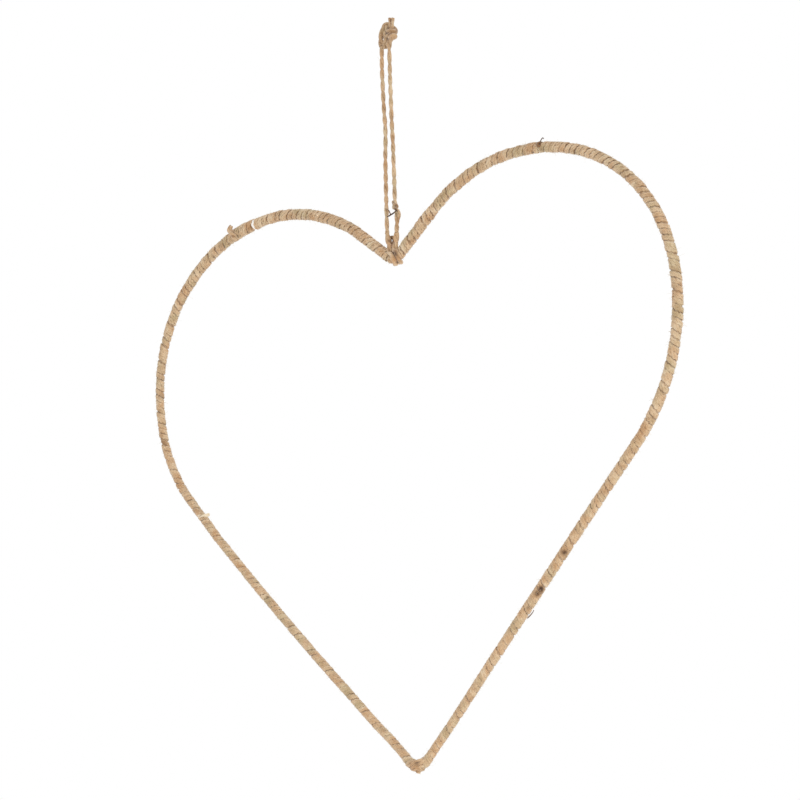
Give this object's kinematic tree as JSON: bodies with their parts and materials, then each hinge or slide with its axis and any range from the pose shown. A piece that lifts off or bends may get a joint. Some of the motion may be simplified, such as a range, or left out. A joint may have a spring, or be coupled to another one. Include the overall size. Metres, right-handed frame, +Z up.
{
  "type": "jute hanging heart",
  "caption": "Open heart-shaped ring wound all round with natural jute twine, hanging on a knotted loop of the same twine.",
  "frame": {"origin": "the place inside the top of the hanging loop, under its knot, where a nail or hook carries the heart", "axes": "+Z up as it hangs, +X to the right seen from the front, +Y into the wall; the heart lies in the plane y = 0"},
  "size_m": [0.3489, 0.012, 0.4094],
  "materials": {
    "jute_winding": "natural jute twine wound turn beside turn, matt, slightly hairy",
    "jute_twine": "two-ply natural jute twine, matt, slightly hairy"
  },
  "bodies": {
    "root": {"jute_wrapped_heart": "jute_winding", "jute_hanging_loop": "jute_twine"}
  },
  "joints": []
}
